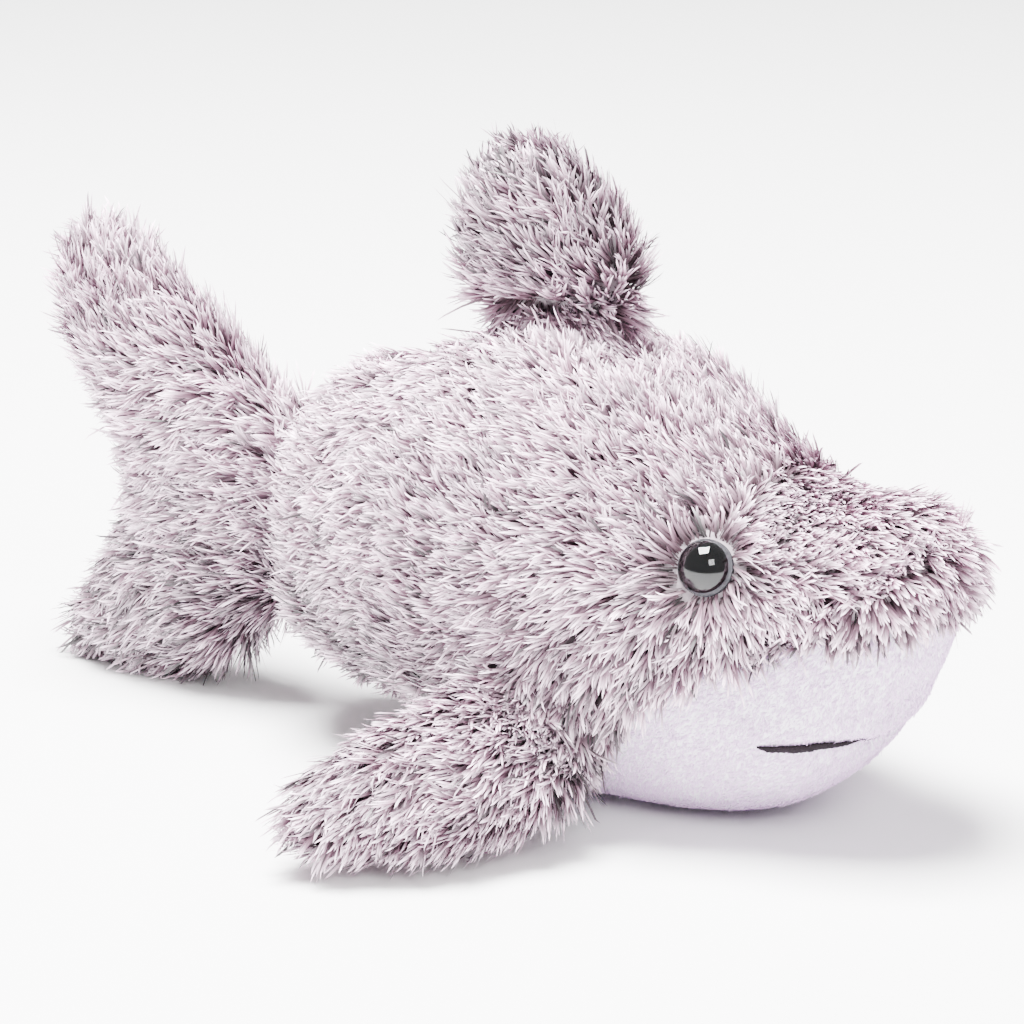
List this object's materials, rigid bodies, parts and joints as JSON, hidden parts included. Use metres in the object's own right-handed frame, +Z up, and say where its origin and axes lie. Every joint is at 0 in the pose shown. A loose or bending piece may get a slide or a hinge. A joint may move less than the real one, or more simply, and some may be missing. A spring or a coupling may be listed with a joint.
{
  "type": "plush shark",
  "caption": "Stuffed shaggy plush shark with a pale short-pile chin and belly, domed eyes, a stitched mouth and flexing sewn fins and tail.",
  "frame": {"origin": "centre of the footprint, on the surface that the belly rests on", "axes": "+X towards the nose, +Y towards the shark's left side, +Z up"},
  "size_m": [0.243, 0.1846, 0.1387],
  "materials": {
    "grey_pile": "shaggy",
    "white_pile": "short pile",
    "fibre_fill": "loose fibre",
    "thread": "matte",
    "clear_dome": "clear gloss",
    "pupil": "gloss",
    "eye_post": "satin",
    "eye_washer": "matte"
  },
  "bodies": {
    "body": {"body_stuffing": "fibre_fill", "right_side_cover": "grey_pile", "left_side_cover": "grey_pile", "right_muzzle_cover": "grey_pile", "left_muzzle_cover": "grey_pile", "belly_cover": "white_pile", "mouth_stitching": "thread", "right_eye_lens": "clear_dome", "right_eye_pupil": "pupil", "right_eye_post": "eye_post", "right_eye_washer": "eye_washer", "left_eye_lens": "clear_dome", "left_eye_pupil": "pupil", "left_eye_post": "eye_post", "left_eye_washer": "eye_washer"},
    "tail": {"tail_stuffing": "fibre_fill", "tail_right_cover": "grey_pile", "tail_left_cover": "grey_pile"},
    "dorsal": {"dorsal_stuffing": "fibre_fill", "dorsal_right_cover": "grey_pile", "dorsal_left_cover": "grey_pile"},
    "right_pectoral": {"right_pectoral_stuffing": "fibre_fill", "right_pectoral_top_cover": "grey_pile", "right_pectoral_bottom_cover": "grey_pile"},
    "left_pectoral": {"left_pectoral_stuffing": "fibre_fill", "left_pectoral_top_cover": "grey_pile", "left_pectoral_bottom_cover": "grey_pile"}
  },
  "joints": [
    {"name": "tail_swing", "type": "hinge", "parent": "body", "child": "tail", "pos_m": [-0.0585, 0, 0.049], "axis": [0, 0, 1], "range_deg": [-35, 35], "stiffness_Nm_per_rad": 0.05},
    {"name": "dorsal_flop", "type": "hinge", "parent": "body", "child": "dorsal", "pos_m": [0.0145, 0, 0.11067], "axis": [1, 0, 0], "range_deg": [-40, 40], "stiffness_Nm_per_rad": 0.05},
    {"name": "right_pectoral_flap", "type": "hinge", "parent": "body", "child": "right_pectoral", "pos_m": [0.0415, -0.04913, 0.022], "axis": [-0.8283, -0.1312, 0.5446], "range_deg": [0, 50], "stiffness_Nm_per_rad": 0.04},
    {"name": "left_pectoral_flap", "type": "hinge", "parent": "body", "child": "left_pectoral", "pos_m": [0.0415, 0.04913, 0.022], "axis": [0.8283, -0.1312, -0.5446], "range_deg": [0, 50], "stiffness_Nm_per_rad": 0.04}
  ]
}
